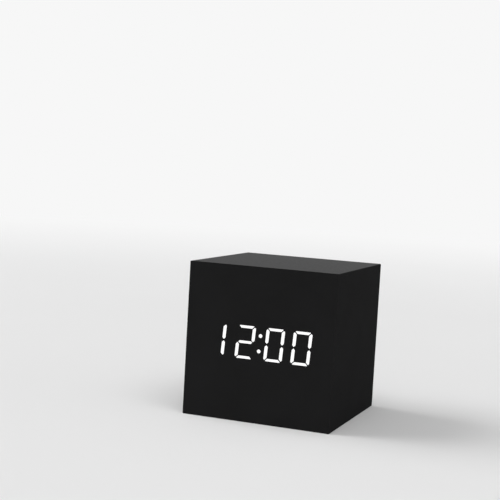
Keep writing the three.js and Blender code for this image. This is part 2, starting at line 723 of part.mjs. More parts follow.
function hookFrontY() {
  return COVER_INNER_Y + (COVER_THICKNESS - HOOK_THICKNESS) / 2;
}

function hookBackY() {
  return hookFrontY() + HOOK_THICKNESS;
}

function tabPlaces() {
  return [-1, 1].map((side) => side * DOOR_X * TAB_PLACE_SHARE);
}

// The middle heights of the three cells, from the bottom up.
function cellHeights() {
  const first = TRAY_LOW_Z + FIT_GAP + CELL_DIAMETER / 2;
  return Array.from({ length: CELL_COUNT }, (_, i) => first + i * (CELL_DIAMETER + CELL_SPACING));
}

// The tray's saddles: two thin ribs scalloped to the cells.
function saddles() {
  const scallops = cellHeights().map((z) => {
    const round = new THREE.CylinderGeometry(
      CELL_DIAMETER / 2 + FIT_GAP,
      CELL_DIAMETER / 2 + FIT_GAP,
      TRAY_INNER_LENGTH,
      CELL_SIDES,
    );
    round.rotateZ(Math.PI / 2);
    round.translate(0, CELL_Y, z);
    return toSolid(round);
  });
  return [-1, 1].map((side) => {
    const x = side * TRAY_X * 2 * SADDLE_PLACE_SHARE;
    const half = SADDLE_THICKNESS / 2;
    const front = TRAY_FLOOR_Y - TRAY_WALL / 2;
    const low = TRAY_LOW_Z - TRAY_WALL / 2;
    const high = TRAY_HIGH_Z + TRAY_WALL / 2;
    return cut(block(x - half, x + half, front, TRAY_FLOOR_Y + SADDLE_HEIGHT, low, high), ...scallops);
  });
}

function grilleHoles() {
  const places = [[BUZZER_X, PORT_Z]];
  for (let i = 0; i < GRILLE_RING_COUNT; i += 1) {
    const turn = (i / GRILLE_RING_COUNT) * 2 * Math.PI;
    const x = BUZZER_X + GRILLE_RING_RADIUS * Math.cos(turn);
    places.push([x, PORT_Z + GRILLE_RING_RADIUS * Math.sin(turn)]);
  }
  return places.map(([x, z]) =>
    slab(disc(x, z, GRILLE_HOLE_RADIUS), COVER_INNER_Y - OVERRUN, COVER_OUTER_Y + OVERRUN, 2 * ARC_STEPS),
  );
}

// The slots in the tray's floor that the two terminal tails pass through.
function tailSlots() {
  const [lowest, , highest] = cellHeights();
  return [[-1, highest], [1, lowest]].map(([side, z]) => {
    const reach = TAIL_WIDTH / 2 + FIT_GAP;
    const inner = side * (CONTACT_X - FIT_GAP);
    const outer = side * TRAY_X;
    return block(
      Math.min(inner, outer),
      Math.max(inner, outer),
      TRAY_BACK_Y - OVERRUN,
      TRAY_FLOOR_Y + OVERRUN / 2,
      z - reach,
      z + reach,
    );
  });
}

// The slots under the cover's lip that the door's tabs hook into, open towards the tray.
function tabSlots() {
  return tabPlaces().map((x) => {
    const reach = TAB_WIDTH / 2 + FIT_GAP;
    const low = DOOR_LOW_Z - TAB_LENGTH - FIT_GAP;
    const front = DOOR_INNER_Y - TAB_LENGTH - 2 * FIT_GAP;
    const back = DOOR_INNER_Y + TAB_THICKNESS + TAB_LIP_GAP;
    return block(x - reach, x + reach, front, back, low, TRAY_LOW_Z + OVERRUN / 2);
  });
}

function buttonPlaces() {
  return [-BUTTON_PITCH, 0, BUTTON_PITCH];
}

function rearCover() {
  const plateX = REBATE_X - FIT_GAP;
  const plateLow = REBATE_FLOOR_Z + FIT_GAP;
  const plateHigh = REBATE_ROOF_Z - FIT_GAP;
  const plateShape = rectangle(-plateX, plateX, plateLow, plateHigh, COVER_RADIUS);
  const plate = slab(plateShape, COVER_INNER_Y, COVER_OUTER_Y);
  const wallX = TRAY_X + TRAY_WALL;
  const wallLow = TRAY_LOW_Z - TRAY_WALL;
  const wallHigh = TRAY_HIGH_Z + TRAY_WALL;
  const trayOuter = rectangle(-wallX, wallX, wallLow, wallHigh, TRAY_RADIUS + TRAY_WALL);
  const trayInner = rectangle(-TRAY_X, TRAY_X, TRAY_LOW_Z, TRAY_HIGH_Z, TRAY_RADIUS);
  const doorX = DOOR_X + FIT_GAP;
  const seatLow = DOOR_LOW_Z - FIT_GAP;
  const doorSeat = rectangle(-doorX, doorX, seatLow, DOOR_HIGH_Z + FIT_GAP, DOOR_RADIUS + FIT_GAP);
  const squareSeat = rectangle(-doorX, doorX, seatLow, DOOR_HIGH_Z - DOOR_RADIUS);
  const thumbX = THUMB_WIDTH / 2;
  const thumbHigh = DOOR_HIGH_Z + THUMB_RISE;
  const thumb = rectangle(-thumbX, thumbX, DOOR_HIGH_Z - THUMB_RISE, thumbHigh, THUMB_RISE - FIT_GAP);
  const hooks = hookPlaces().map((x) => {
    const half = HOOK_WIDTH / 2;
    const low = plateLow - HOOK_LENGTH;
    return block(x - half, x + half, hookFrontY(), hookBackY(), low, plateLow + COVER_RADIUS);
  });
  const posts = [-1, 1].map((side) =>
    bar(side * POST_X, POST_Z, POST_RADIUS, CONTROL_REAR_Y, COVER_OUTER_Y - OVERRUN),
  );
  const whole = cut(
    join(plate, slab(trayOuter, TRAY_BACK_Y, COVER_INNER_Y + OVERRUN / 2), ...hooks, ...posts),
    slab(trayInner, TRAY_FLOOR_Y, COVER_OUTER_Y + OVERRUN),
    slab(doorSeat, DOOR_INNER_Y, COVER_OUTER_Y + OVERRUN),
    slab(squareSeat, DOOR_INNER_Y, COVER_OUTER_Y + OVERRUN),
    slab(thumb, COVER_OUTER_Y - THUMB_DEPTH, COVER_OUTER_Y + OVERRUN),
    ...tabSlots(),
    ...tailSlots(),
    ...grilleHoles(),
    ...buttonPlaces().map((x) =>
      bar(x, BUTTON_Z, BUTTON_RADIUS + FIT_GAP, COVER_INNER_Y - OVERRUN, COVER_OUTER_Y + OVERRUN),
    ),
    ...portCuts(),
    ...coverScrewCuts(),
    ...[-1, 1].map((side) =>
      bar(side * POST_X, POST_Z, SCREW_HOLE_RADIUS, CONTROL_REAR_Y - OVERRUN, COVER_INNER_Y - OVERRUN),
    ),
  );
  return join(whole, ...saddles());
}

function portCuts() {
  const window = rectangle(
    USB_X - USB_WIDTH / 2 - FIT_GAP,
    USB_X + USB_WIDTH / 2 + FIT_GAP,
    PORT_Z - USB_HEIGHT / 2 - FIT_GAP,
    PORT_Z + USB_HEIGHT / 2 + FIT_GAP,
  );
  const recess = rectangle(
    USB_X - PORT_RECESS_WIDTH / 2,
    USB_X + PORT_RECESS_WIDTH / 2,
    PORT_Z - PORT_RECESS_HEIGHT / 2,
    PORT_Z + PORT_RECESS_HEIGHT / 2,
    PORT_RECESS_HEIGHT / 3,
  );
  return [
    slab(window, COVER_INNER_Y - OVERRUN, COVER_OUTER_Y + OVERRUN),
    slab(recess, COVER_OUTER_Y - PORT_RECESS_DEPTH, COVER_OUTER_Y + OVERRUN),
  ];
}

function coverScrewCuts() {
  return [-1, 1].flatMap((side) => [
    bar(
      side * COVER_SCREW_X,
      COVER_SCREW_Z,
      SCREW_HOLE_RADIUS,
      COVER_INNER_Y - OVERRUN,
      COVER_OUTER_Y + OVERRUN,
    ),
    bar(
      side * COVER_SCREW_X,
      COVER_SCREW_Z,
      COUNTERBORE_RADIUS,
      COVER_OUTER_Y - COUNTERBORE_DEPTH,
      COVER_OUTER_Y + OVERRUN,
    ),
  ]);
}

// The door: a round lower edge to turn on, two tabs, a springy latch tongue and finger ridges.
function batteryDoor() {
  const panelShape = rectangle(-DOOR_X, DOOR_X, PIVOT_Z, DOOR_HIGH_Z, DOOR_RADIUS);
  const panel = slab(panelShape, DOOR_INNER_Y, COVER_OUTER_Y);
  const lower = block(-DOOR_X, DOOR_X, DOOR_INNER_Y, COVER_OUTER_Y, PIVOT_Z, PIVOT_Z + 2 * DOOR_RADIUS);
  const radius = DOOR_THICKNESS / 2;
  const edge = new THREE.CylinderGeometry(radius, radius, 2 * DOOR_X, 2 * ROUND_STEPS);
  edge.rotateZ(Math.PI / 2);
  edge.translate(0, PIVOT_Y, PIVOT_Z);
  const tabs = tabPlaces().map((x) => {
    const half = TAB_WIDTH / 2;
    const back = DOOR_INNER_Y + TAB_THICKNESS;
    return block(x - half, x + half, DOOR_INNER_Y, back, DOOR_LOW_Z - TAB_LENGTH, PIVOT_Z);
  });
  const slits = [-1, 1].map((side) => {
    const x = (side * LATCH_WIDTH) / 2;
    const half = LATCH_SLIT / 2;
    const slit = rectangle(x - half, x + half, DOOR_HIGH_Z - LATCH_LENGTH, DOOR_HIGH_Z + OVERRUN);
    return slab(slit, DOOR_INNER_Y - OVERRUN, COVER_OUTER_Y + OVERRUN);
  });
  const ridges = Array.from({ length: RIDGE_COUNT }, (_, i) => {
    const half = LATCH_WIDTH / 2 - 2 * LATCH_SLIT;
    const low = DOOR_HIGH_Z - LATCH_LENGTH + RIDGE_PITCH * (i + 1);
    const foot = COVER_OUTER_Y - DOOR_THICKNESS / 2;
    return block(-half, half, foot, COVER_OUTER_Y + RIDGE_HEIGHT, low, low + RIDGE_WIDTH);
  });
  return join(cut(join(panel, lower, toSolid(edge), ...tabs), ...slits), ...ridges);
}

// Buttons and switches

function button(x) {
  const top = COVER_OUTER_Y + BUTTON_PROUD;
  const profile = [
    [0, FLANGE_BACK_Y],
    [FLANGE_RADIUS, FLANGE_BACK_Y],
    [FLANGE_RADIUS, FLANGE_TOP_Y],
    [BUTTON_RADIUS, FLANGE_TOP_Y],
    [BUTTON_RADIUS, top - BUTTON_EDGE],
    [BUTTON_RADIUS - BUTTON_EDGE, top],
    [0, top],
  ];
  return toSolid(turned(profile, TURNED_SIDES).translate(x, 0, BUTTON_Z));
}

function plunger(x) {
  return bar(x, BUTTON_Z, PLUNGER_RADIUS, SWITCH_TOP_Y - PLUNGER_DEPTH, FLANGE_BACK_Y);
}

function switchBody(x) {
  const half = SWITCH_SIZE / 2;
  const body = block(x - half, x + half, CONTROL_REAR_Y, SWITCH_TOP_Y, BUTTON_Z - half, BUTTON_Z + half);
  const floor = SWITCH_TOP_Y - PLUNGER_DEPTH - BUTTON_TRAVEL - FIT_GAP;
  return cut(body, bar(x, BUTTON_Z, PLUNGER_RADIUS + FIT_GAP, floor, SWITCH_TOP_Y + OVERRUN));
}

// Control board and what stands on it

function controlBoard() {
  const notchX = POCKET_X - SCREW_BLOCK_SIZE - FIT_GAP;
  const notchZ = POCKET_ROOF_Z - SCREW_BLOCK_SIZE - FIT_GAP;
  const shape = outline([
    [-BOARD_X, CONTROL_BOARD_LOW_Z],
    [BOARD_X, CONTROL_BOARD_LOW_Z],
    [BOARD_X, notchZ],
    [notchX, notchZ],
    [notchX, CONTROL_BOARD_HIGH_Z],
    [-notchX, CONTROL_BOARD_HIGH_Z],
    [-notchX, notchZ],
    [-BOARD_X, notchZ],
  ]);
  for (const side of [-1, 1]) shape.holes.push(disc(side * POST_X, POST_Z, SCREW_HOLE_RADIUS));
  return slab(shape, CONTROL_FRONT_Y, CONTROL_REAR_Y, ROUND_STEPS);
}

// The socket's shell, with the two slanted lower corners of its kind.
function usbShape(inset) {
  const half = USB_WIDTH / 2 - inset;
  const low = PORT_Z - USB_HEIGHT / 2 + inset;
  const high = PORT_Z + USB_HEIGHT / 2 - inset;
  const slant = USB_CORNER - inset / 2;
  return outline([
    [USB_X - half + slant, low],
    [USB_X + half - slant, low],
    [USB_X + half, low + slant],
    [USB_X + half, high],
    [USB_X - half, high],
    [USB_X - half, low + slant],
  ]);
}

function usbSocket() {
  const mouth = CONTROL_REAR_Y + USB_LENGTH;
  const shell = slab(usbShape(0), CONTROL_REAR_Y, mouth);
  return cut(shell, slab(usbShape(USB_SHELL), CONTROL_REAR_Y + USB_SHELL, mouth + OVERRUN));
}

function usbTongue() {
  const half = USB_TONGUE_WIDTH / 2;
  const thin = USB_TONGUE_THICKNESS / 2;
  const front = CONTROL_REAR_Y + USB_SHELL;
  return block(USB_X - half, USB_X + half, front, front + USB_TONGUE_LENGTH, PORT_Z - thin, PORT_Z + thin);
}

function buzzer() {
  const top = CONTROL_REAR_Y + BUZZER_HEIGHT;
  const hole = top - BUZZER_HEIGHT / 2;
  const profile = [
    [0, CONTROL_REAR_Y],
    [BUZZER_RADIUS, CONTROL_REAR_Y],
    [BUZZER_RADIUS, top],
    [BUZZER_HOLE_RADIUS, top],
    [BUZZER_HOLE_RADIUS, hole],
    [0, hole],
  ];
  return toSolid(turned(profile, TURNED_SIDES).translate(BUZZER_X, 0, PORT_Z));
}

function capacitor() {
  const front = CONTROL_FRONT_Y - CAPACITOR_HEIGHT;
  return bar(CAPACITOR_X, PORT_Z, CAPACITOR_RADIUS, front, CONTROL_FRONT_Y);
}

// Cells and contacts

// Which way each cell points, from the bottom up: -1 puts its plus end on the left.
const CELL_FACINGS = [-1, 1, -1];

function cell(index) {
  const facing = CELL_FACINGS[index];
  const radius = CELL_DIAMETER / 2;
  const tip = CONTACT_X - DIMPLE_HEIGHT - CONTACT_GAP;
  const shoulder = tip - CELL_NIPPLE_LENGTH;
  const end = tip - CELL_LENGTH;
  const profile = [
    [0, end],
    [radius - CELL_SHOULDER, end],
    [radius, end + CELL_SHOULDER],
    [radius, shoulder - CELL_SHOULDER],
    [radius - CELL_SHOULDER, shoulder],
    [CELL_NIPPLE_RADIUS, shoulder],
    [CELL_NIPPLE_RADIUS, tip],
    [0, tip],
  ];
  const body = turned(profile, CELL_SIDES);
  body.rotateZ((-facing * Math.PI) / 2);
  return toSolid(body.translate(0, CELL_Y, cellHeights()[index]));
}

// A contact plate on an end wall, covering the cells whose heights are given. A cell that shows
// this wall its plus end gets a dimple, and a terminal plate has a tail through the tray's floor.
function contactPlate(side, cellIndexes, isTerminal) {
  const heights = cellIndexes.map((index) => cellHeights()[index]);
  const half = CONTACT_SIZE / 2;
  const wall = side * TRAY_X;
  const inner = side * CONTACT_X;
  const lowX = Math.min(wall, inner);
  const highX = Math.max(wall, inner);
  const low = Math.min(...heights) - half;
  const high = Math.max(...heights) + half;
  const pieces = [block(lowX, highX, CELL_Y - half, CELL_Y + half, low, high)];
  if (isTerminal) {
    const reach = TAIL_WIDTH / 2;
    const [middle] = heights;
    pieces.push(block(lowX, highX, TRAY_BACK_Y - TAIL_REACH, CELL_Y, middle - reach, middle + reach));
  }
  cellIndexes.forEach((index, place) => {
    if (CELL_FACINGS[index] !== side) return;
    const dimple = new THREE.CylinderGeometry(
      DIMPLE_RADIUS,
      DIMPLE_RADIUS,
      CONTACT_THICKNESS + DIMPLE_HEIGHT,
      SCREW_SIDES,
    );
    dimple.rotateZ(Math.PI / 2);
    dimple.translate(side * (TRAY_X - (CONTACT_THICKNESS + DIMPLE_HEIGHT) / 2), CELL_Y, heights[place]);
    pieces.push(toSolid(dimple));
  });
  return join(...pieces);
}

// A conical coil about the X axis, wide at the contact plate and narrow at the cell.
class ConicalCoil extends THREE.Curve {
  constructor(side, height) {
    super();
    this.side = side;
    this.height = height;
  }

  getPoint(share, target = new THREE.Vector3()) {
    const start = CONTACT_X - CONTACT_GAP - SPRING_WIRE / 2;
    const cellEnd = CELL_LENGTH + DIMPLE_HEIGHT + CONTACT_GAP - CONTACT_X;
    const end = cellEnd + CONTACT_GAP + SPRING_WIRE / 2;
    const turn = share * SPRING_TURNS * 2 * Math.PI;
    const radius = SPRING_BASE_RADIUS + (SPRING_TIP_RADIUS - SPRING_BASE_RADIUS) * share;
    const x = this.side * (start + (end - start) * share);
    return target.set(x, CELL_Y + radius * Math.cos(turn), this.height + radius * Math.sin(turn));
  }
}

function contactSpring(index) {
  const coil = new ConicalCoil(-CELL_FACINGS[index], cellHeights()[index]);
  const section = outline(
    Array.from({ length: SPRING_SIDES }, (_, i) => {
      const turn = (i / SPRING_SIDES) * 2 * Math.PI;
      return [(SPRING_WIRE / 2) * Math.cos(turn), (SPRING_WIRE / 2) * Math.sin(turn)];
    }),
  );
  const steps = SPRING_TURNS * SPRING_STEPS_PER_TURN;
  return toSolid(new THREE.ExtrudeGeometry(section, { steps, extrudePath: coil }));
}

// The least gap between a spring's own turns, measured between points more than half a turn apart.
function leastSpringGap() {
  const count = SPRING_TURNS * SPRING_STEPS_PER_TURN * 4;
  const points = new ConicalCoil(1, 0).getPoints(count);
  const halfTurn = count / SPRING_TURNS / 2;
  let least = Infinity;
  for (let i = 0; i < points.length; i += 1) {
    for (let j = i + halfTurn; j < points.length; j += 1) {
      least = Math.min(least, points[i].distanceTo(points[Math.floor(j)]));
    }
  }
  return least - SPRING_WIRE;
}

function lead(points) {
  const route = new THREE.CatmullRomCurve3(points.map(([x, y, z]) => new THREE.Vector3(x, y, z)));
  const section = outline(
    Array.from({ length: LEAD_SIDES }, (_, i) => {
      const turn = (i / LEAD_SIDES) * 2 * Math.PI;
      return [LEAD_RADIUS * Math.cos(turn), LEAD_RADIUS * Math.sin(turn)];
    }),
  );
  return toSolid(new THREE.ExtrudeGeometry(section, { steps: LEAD_STEPS, extrudePath: route }));
}

// A lead from a terminal's tail, up behind the tray, to the front of the control board.
function terminalLead(side, tailZ) {
  const tailX = side * (TRAY_X - CONTACT_THICKNESS / 2);
  const tailY = TRAY_BACK_Y - TAIL_REACH - FIT_GAP;
  const boardX = side * (BOARD_X - 2 * TAIL_WIDTH);
  const boardZ = CONTROL_BOARD_LOW_Z + TAIL_WIDTH;
  const overTray = CONTROL_BOARD_LOW_Z;
  const bend = 2 * TAIL_REACH;
  const midZ = (tailZ + overTray) / 2;
  return lead([
    [tailX, tailY, tailZ],
    [tailX, tailY - TAIL_REACH, tailZ + LEAD_RADIUS],
    [(tailX + boardX) / 2, tailY - bend / 2, midZ],
    [boardX, tailY, overTray],
    [boardX, CONTROL_FRONT_Y - bend, boardZ],
    [boardX, CONTROL_FRONT_Y - FIT_GAP, boardZ],
  ]);
}

// Screws: a domed head and a plain shank. Facing is +1 when the head is at the rear.
function screw(x, z, seatY, length, facing, hasCross) {
  const tip = seatY - facing * length;
  const rim = seatY + facing * (SCREW_HEAD_HEIGHT - SCREW_DOME);
  const top = seatY + facing * SCREW_HEAD_HEIGHT;
  const profile = [
    [0, tip],
    [SCREW_RADIUS, tip + facing * SCREW_RADIUS],
    [SCREW_RADIUS, seatY],
    [SCREW_HEAD_RADIUS, seatY],
    [SCREW_HEAD_RADIUS, rim],
    [SCREW_HEAD_RADIUS - SCREW_DOME, top],
    [0, top],
  ];
  if (facing < 0) profile.reverse();
  const body = toSolid(turned(profile, SCREW_SIDES).translate(x, 0, z));
  if (!hasCross) return body;
  const long = SCREW_CROSS_LENGTH / 2;
  const thin = SCREW_CROSS_WIDTH / 2;
  const floor = top - SCREW_CROSS_DEPTH;
  return cut(
    body,
    block(x - long, x + long, floor, top + OVERRUN, z - thin, z + thin),
    block(x - thin, x + thin, floor, top + OVERRUN, z - long, z + long),
  );
}

// Assembly

const clock = new THREE.Group();

function place(name, solid, finish, parent = clock) {
  const mesh = new THREE.Mesh(toGeometry(solid), new THREE.MeshStandardMaterial(finish));
  mesh.name = name;
  parent.add(mesh);
}

const displayModule = new THREE.Group();
const rearAssembly = new THREE.Group();
clock.add(displayModule, rearAssembly);

place("front_veneer", frontVeneer(), BLACK_FILM);
place("wood_case", woodCase(), BLACK_FILM);
place("screw_block_left", screwBlock(-1), WOOD);
place("screw_block_right", screwBlock(1), WOOD);

place("display_housing", displayHousing(), BLACK_PLASTIC, displayModule);
for (const digit of DIGITS) {
  place(`digit_lens_${digit.name}`, digitLens(digit), LENS_WHITE, displayModule);
}
place("colon_lens", colonLens(), LENS_WHITE, displayModule);
place("display_board", displayBoard(), BOARD_GREEN, displayModule);
displayScrewPlaces().forEach(([x, z], i) => {
  const displayScrew = screw(x, z, DISPLAY_BOARD_BACK_Y, SHORT_SCREW, 1, false);
  place(`display_screw_${i + 1}`, displayScrew, STEEL, displayModule);
});
place("driver_chip", driverChip(), BLACK_PLASTIC, displayModule);
place("clock_crystal", clockCrystal(), STEEL, displayModule);
place("coin_cell_holder", coinCellHolder(), BLACK_PLASTIC, displayModule);
place("coin_cell", coinCell(), STEEL, displayModule);
place("display_connector", connector(DISPLAY_BOARD_BACK_Y, displayConnectorZ(), 1), GREY, displayModule);
place("ribbon_cable", ribbonCable(), GREY, displayModule);

place("rear_cover", rearCover(), BLACK_PLASTIC, rearAssembly);
place("battery_door", batteryDoor(), BLACK_PLASTIC, rearAssembly);
["down", "set", "up"].forEach((name, i) => {
  const x = buttonPlaces()[i];
  place(`${name}_button`, button(x), BLACK_PLASTIC, rearAssembly);
  place(`${name}_plunger`, plunger(x), GREY, rearAssembly);
  place(`${name}_switch`, switchBody(x), BLACK_PLASTIC, rearAssembly);
});
place("control_board", controlBoard(), BOARD_GREEN, rearAssembly);
place("control_connector", connector(CONTROL_FRONT_Y, controlConnectorZ(), -1), GREY, rearAssembly);
place("usb_socket", usbSocket(), STEEL, rearAssembly);
place("usb_tongue", usbTongue(), BLACK_PLASTIC, rearAssembly);
place("buzzer", buzzer(), BLACK_PLASTIC, rearAssembly);
place("capacitor", capacitor(), BLACK_PLASTIC, rearAssembly);
[-1, 1].forEach((side, i) => {
  const seat = COVER_OUTER_Y - COUNTERBORE_DEPTH;
  const coverScrew = screw(side * COVER_SCREW_X, COVER_SCREW_Z, seat, LONG_SCREW, 1, true);
  const boardScrew = screw(side * POST_X, POST_Z, CONTROL_FRONT_Y, SHORT_SCREW, -1, false);
  place(`cover_screw_${i + 1}`, coverScrew, STEEL);
  place(`board_screw_${i + 1}`, boardScrew, STEEL);
});

cellHeights().forEach((_, i) => {
  place(`aaa_cell_${i + 1}`, cell(i), CELL_SLEEVE, rearAssembly);
  place(`contact_spring_${i + 1}`, contactSpring(i), STEEL, rearAssembly);
});
place("positive_contact", contactPlate(-1, [2], true), STEEL, rearAssembly);
place("negative_contact", contactPlate(1, [0], true), STEEL, rearAssembly);
place("link_contact_left", contactPlate(-1, [0, 1], false), STEEL, rearAssembly);
place("link_contact_right", contactPlate(1, [1, 2], false), STEEL, rearAssembly);
place("red_lead", terminalLead(-1, cellHeights()[2]), RED, rearAssembly);
place("black_lead", terminalLead(1, cellHeights()[0]), BLACK, rearAssembly);

console.log(`Least gap between a spring's own turns: ${leastSpringGap().toFixed(2)} mm`);

export default clock;
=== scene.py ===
import math

import bmesh
import bpy
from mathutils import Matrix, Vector


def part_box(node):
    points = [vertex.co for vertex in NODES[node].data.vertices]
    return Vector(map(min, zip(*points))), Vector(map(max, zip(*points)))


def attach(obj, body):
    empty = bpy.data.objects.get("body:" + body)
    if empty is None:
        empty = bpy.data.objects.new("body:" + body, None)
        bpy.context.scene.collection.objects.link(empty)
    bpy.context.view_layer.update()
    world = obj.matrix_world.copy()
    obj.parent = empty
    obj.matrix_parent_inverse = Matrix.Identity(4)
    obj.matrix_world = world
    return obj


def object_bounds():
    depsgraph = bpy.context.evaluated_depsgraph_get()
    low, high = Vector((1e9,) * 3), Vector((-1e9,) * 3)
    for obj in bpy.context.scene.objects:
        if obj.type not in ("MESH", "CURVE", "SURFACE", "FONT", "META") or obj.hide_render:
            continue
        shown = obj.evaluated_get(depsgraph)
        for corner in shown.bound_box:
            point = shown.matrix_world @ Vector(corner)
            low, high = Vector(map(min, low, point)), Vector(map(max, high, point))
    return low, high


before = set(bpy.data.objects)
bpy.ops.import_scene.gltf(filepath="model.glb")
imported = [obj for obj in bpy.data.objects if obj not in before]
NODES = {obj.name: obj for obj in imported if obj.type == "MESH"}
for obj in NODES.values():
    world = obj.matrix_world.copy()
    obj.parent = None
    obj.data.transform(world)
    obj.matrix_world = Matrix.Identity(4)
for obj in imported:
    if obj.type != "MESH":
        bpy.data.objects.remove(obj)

CAD_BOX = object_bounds()
MM = 0.001
BUTTON_KINDS = ("down", "set", "up")


# The camera, fitted to the seven corners of the cube in the photograph

IMAGE_PX = 500
SENSOR_MM = 36
CAMERA_PLACE = Vector((0.14962, -0.43038, 0.09907))
CAMERA_TURN = [math.radians(angle) for angle in (85.596, -3.222, 21.438)]
CAMERA_FOCAL_PX = 1137
CAMERA_NEAR = 0.01
CAMERA_FAR = 50


def add_camera():
    data = bpy.data.cameras.new("camera")
    data.sensor_width = SENSOR_MM
    data.sensor_height = SENSOR_MM
    data.sensor_fit = "HORIZONTAL"
    data.lens = CAMERA_FOCAL_PX / IMAGE_PX * SENSOR_MM
    data.clip_start = CAMERA_NEAR
    data.clip_end = CAMERA_FAR
    camera = bpy.data.objects.new("camera", data)
    camera.location = CAMERA_PLACE
    camera.rotation_euler = CAMERA_TURN
    bpy.context.scene.collection.objects.link(camera)
    bpy.context.scene.camera = camera


add_camera()


# Node trees

# The range that a noise mostly stays in
NOISE_LOW = 0.3
NOISE_HIGH = 0.7


class Nodes:
    """A short way to write a node tree."""

    def __init__(self, tree):
        self.tree = tree

    def add(self, kind, **settings):
        node = self.tree.nodes.new(kind)
        for setting, value in settings.items():
            setattr(node, setting, value)
        return node

    def feed(self, socket, value):
        """Link an output to a socket, or give the socket a plain value."""
        if isinstance(value, bpy.types.NodeSocket):
            self.tree.links.new(value, socket)
        else:
            socket.default_value = value

    def combine(self, operation, first, second):
        node = self.add("ShaderNodeMath", operation=operation)
        self.feed(node.inputs[0], first)
        self.feed(node.inputs[1], second)
        return node.outputs["Value"]

    def combine_vectors(self, operation, *vectors, result="Vector"):
        """A vector made from others, or a number where the result asked for is Value."""
        node = self.add("ShaderNodeVectorMath", operation=operation)
        for socket, vector in zip(node.inputs, vectors):
            self.feed(socket, vector)
        return node.outputs[result]

    def axis(self, vector, name):
        """One part of a vector: its X, Y or Z."""
        node = self.add("ShaderNodeSeparateXYZ")
        self.feed(node.inputs["Vector"], vector)
        return node.outputs[name]

    def rescale(self, value, start, end, low=0, high=1, curve="LINEAR"):
        """A value carried from the range start to end over to low to high, and held inside it."""
        node = self.add("ShaderNodeMapRange", clamp=True, interpolation_type=curve)
        node.inputs["From Min"].default_value = start
        node.inputs["From Max"].default_value = end
        node.inputs["To Min"].default_value = low
        node.inputs["To Max"].default_value = high
        self.feed(node.inputs["Value"], value)
        return node.outputs["Result"]

    def coordinates(self, stretch=(1, 1, 1)):
        """Object coordinates in metres, stretched along each axis."""
        source = self.add("ShaderNodeTexCoord")
        mapping = self.add("ShaderNodeMapping")
        self.feed(mapping.inputs["Scale"], stretch)
        self.feed(mapping.inputs["Vector"], source.outputs["Object"])
        return mapping.outputs["Vector"]

    def noise(self, scale, detail, stretch=(1, 1, 1)):
        node = self.add("ShaderNodeTexNoise")
        self.feed(node.inputs["Scale"], scale)
        self.feed(node.inputs["Detail"], detail)
        self.feed(node.inputs["Vector"], self.coordinates(stretch))
        return node.outputs["Fac"]

    def between_colors(self, noise, low, high):
        """A colour that a noise moves between two."""
        node = self.add("ShaderNodeValToRGB")
        places = ((NOISE_LOW, low), (NOISE_HIGH, high))
        for element, (position, color) in zip(node.color_ramp.elements, places):
            element.position = position
            element.color = (*color, 1)
        self.feed(node.inputs["Fac"], noise)
        return node.outputs["Color"]

    def between(self, noise, low, high):
        """A number that a noise moves between two."""
        return self.rescale(noise, NOISE_LOW, NOISE_HIGH, low, high)

    def mix(self, factor, first, second):
        """The first colour where the factor is 0, and the second where it is 1."""
        node = self.add("ShaderNodeMix", data_type="RGBA")
        self.feed(node.inputs["Factor"], factor)
        self.feed(node.inputs["A"], first)
        self.feed(node.inputs["B"], second)
        return node.outputs["Result"]

    def within(self, low, high):
        """One inside the box between two corners, and zero outside it."""
        middle = [(a + b) / 2 for a, b in zip(low, high)]
        half = [(b - a) / 2 for a, b in zip(low, high)]
        offset = self.combine_vectors("SUBTRACT", self.coordinates(), middle)
        share = self.combine_vectors("DIVIDE", self.combine_vectors("ABSOLUTE", offset), half)
        x, y, z = (self.axis(share, name) for name in "XYZ")
        farthest = self.combine("MAXIMUM", self.combine("MAXIMUM", x, y), z)
        return self.combine("LESS_THAN", farthest, 1)

    def shown_rays(self):
        """One for rays that show the background: seen straight, mirrored or let through."""
        rays = self.add("ShaderNodeLightPath").outputs
        mirrored = self.combine("MAXIMUM", rays["Is Camera Ray"], rays["Is Glossy Ray"])
        return self.combine("MAXIMUM", mirrored, rays["Is Transmission Ray"])

    def mix_shaders(self, factor, first, second):
        node = self.add("ShaderNodeMixShader")
        self.feed(node.inputs["Fac"], factor)
        self.feed(node.inputs[1], first)
        self.feed(node.inputs[2], second)
        return node.outputs["Shader"]


class Finish(Nodes):
    """A material made round one Principled shader."""

    def __init__(self, name):
        self.material = bpy.data.materials.new(name)
        self.material.use_nodes = True
        super().__init__(self.material.node_tree)
        self.surface = self.tree.nodes["Principled BSDF"]

    def set(self, socket, value):
        self.feed(self.surface.inputs[socket], value)

    def bump(self, height, strength, depth):
        node = self.add("ShaderNodeBump")
        self.feed(node.inputs["Strength"], strength)
        self.feed(node.inputs["Distance"], depth)
        self.feed(node.inputs["Height"], height)
        self.set("Normal", node.outputs["Normal"])


def shade(value):
    """A grey of one value, as a colour."""
    return (value, value, value)


# Materials

# How much rougher than its grain the film is on upright faces, and on faces that look up
UPRIGHT_ROUGHER = 0.46
LEVEL_ROUGHER = -0.01

# How far a noise takes a finish's roughness below and above the one it is given
PLASTIC_SMOOTHER, PLASTIC_ROUGHER = 0.05, 0.06
METAL_SMOOTHER, METAL_ROUGHER = 0.06, 0.08
METAL_DARKEST = 0.85

# The case's board is wrapped at its outside and its rear rim, and bare inside this box
RIM_DEPTH = 3 * MM
WRAPPED_WALL = 2 * MM
BARE_BOX = (
    [side + WRAPPED_WALL for side in CAD_BOX[0]],
    [side - wrapped for side, wrapped in zip(CAD_BOX[1], (WRAPPED_WALL, RIM_DEPTH, WRAPPED_WALL))],
)

# The lenses glow at their tips, which reach furthest forward
TIP_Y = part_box("colon_lens")[0][1]
GLOW_FULL = 0.02 * MM
GLOW_END = 0.1 * MM
GLOW_STRENGTH = 0.68

# Each cell's copper band starts this far from its middle, towards its plus end
BAND_START = 10 * MM
BAND_BLUR = 0.1 * MM
COPPER_METALLIC = 0.7

